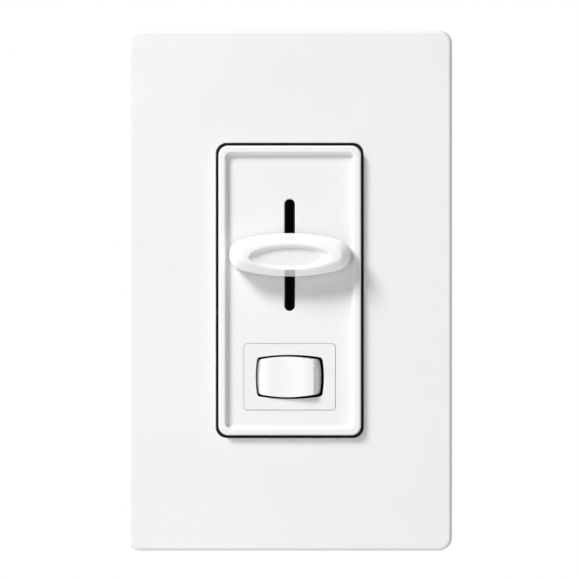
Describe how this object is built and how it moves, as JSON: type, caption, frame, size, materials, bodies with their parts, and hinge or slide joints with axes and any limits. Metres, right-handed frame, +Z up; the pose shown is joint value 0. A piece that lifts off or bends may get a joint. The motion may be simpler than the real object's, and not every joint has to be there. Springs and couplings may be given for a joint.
{
  "type": "slide dimmer switch",
  "caption": "Wall dimmer with a vertical slide knob and a small left/right rocker set in a rimmed bezel, with its screwless cover plate, strap and rear housing.",
  "frame": {"origin": "centre of the device on the wall surface, midway between the two box screws", "axes": "+X to the right seen from the room, +Y into the wall, +Z up; the knob and rocker face -Y"},
  "size_m": [0.074, 0.0423, 0.1188],
  "materials": {
    "plate_white": "satin moulded thermoplastic",
    "adapter_white": "moulded, unpolished",
    "yoke_aluminium": "rolled sheet, brushed",
    "screw_zinc": "zinc plated",
    "fibre": "vulcanised fibre",
    "ground_green": "green dyed zinc",
    "bezel_white": "polished moulding",
    "shield_black": "matt sheet",
    "knob_white": "slightly translucent moulding",
    "lever_black": "moulded",
    "pot_steel": "tinned steel",
    "phenolic_brown": "paper laminate",
    "nylon_natural": "moulded nylon",
    "contact_brass": "stamped strip",
    "switch_white": "polished moulding",
    "switch_base_black": "moulded phenolic",
    "rocker_white": "polished moulding",
    "spring_steel": "wire",
    "cover_black": "moulded thermoset",
    "label_blank": "printed label stock, blank",
    "board_green": "solder resist on laminate",
    "epoxy_black": "moulded epoxy",
    "tinned_copper": "tinned",
    "ferrite_grey": "sintered powder core",
    "copper_enamel": "enamelled copper wire",
    "capacitor_red": "dipped box",
    "resistor_tan": "lacquered",
    "glass_blue": "lacquered glass",
    "fish_paper": "insulating paper"
  },
  "bodies": {
    "device": {"wall_plate": "plate_white", "plate_adapter": "adapter_white", "adapter_screw_top": "screw_zinc", "adapter_screw_bottom": "screw_zinc", "yoke": "yoke_aluminium", "box_screw_top": "screw_zinc", "box_screw_bottom": "screw_zinc", "screw_washer_top": "fibre", "screw_washer_bottom": "fibre", "ground_screw": "ground_green", "front_bezel": "bezel_white", "bezel_collar": "shield_black", "slot_shield": "shield_black", "pot_case": "pot_steel", "pot_track": "phenolic_brown", "pot_terminal_a": "tinned_copper", "pot_terminal_b": "tinned_copper", "pot_terminal_c": "tinned_copper", "switch_housing": "switch_base_black", "switch_face": "switch_white", "switch_base": "switch_base_black", "common_terminal": "contact_brass", "load_terminal": "contact_brass", "back_cover": "cover_black", "rating_label": "label_blank", "cover_rivet_top_left": "screw_zinc", "cover_rivet_top_right": "screw_zinc", "cover_rivet_bottom_left": "screw_zinc", "cover_rivet_bottom_right": "screw_zinc", "circuit_board": "board_green", "triac_case": "epoxy_black", "triac_tab": "tinned_copper", "triac_insulator": "fish_paper", "triac_rivet": "screw_zinc", "triac_lead_left": "tinned_copper", "triac_lead_middle": "tinned_copper", "triac_lead_right": "tinned_copper", "choke_core": "ferrite_grey", "choke_winding": "copper_enamel", "film_capacitor_large": "capacitor_red", "film_capacitor_small": "capacitor_red", "resistor_gate": "resistor_tan", "resistor_charge": "resistor_tan", "diac": "glass_blue", "insulating_sheet": "fish_paper"},
    "slider": {"slide_knob": "knob_white", "slider_lever": "lever_black", "pot_carriage": "nylon_natural", "pot_wiper": "contact_brass"},
    "rocker": {"rocker": "rocker_white", "plunger_spring": "spring_steel"},
    "plunger": {"plunger": "nylon_natural"},
    "contact": {"moving_contact": "contact_brass"}
  },
  "joints": [
    {"name": "slide_travel", "type": "slide", "parent": "device", "child": "slider", "axis": [0, 0, 1], "range_m": [-0.01, 0.01]},
    {"name": "rocker_tilt", "type": "hinge", "parent": "device", "child": "rocker", "pos_m": [0, -0.0015, -0.0197], "axis": [0, 0, 1], "range_deg": [0, 10]},
    {"name": "plunger_slide", "type": "slide", "parent": "rocker", "child": "plunger", "axis": [-0.0872, -0.9962, 0], "range_m": [0, 0.0004], "stiffness_N_per_m": 150, "springref_m": -0.002, "deforming": ["plunger_spring"]},
    {"name": "contact_rock", "type": "hinge", "parent": "device", "child": "contact", "pos_m": [0, 0.0048, -0.0197], "axis": [0, 0, 1], "range_deg": [-7.5, 0]}
  ],
  "couplings": [
    {"joint": "contact_rock", "follows": "rocker_tilt", "ratio": -0.75}
  ]
}
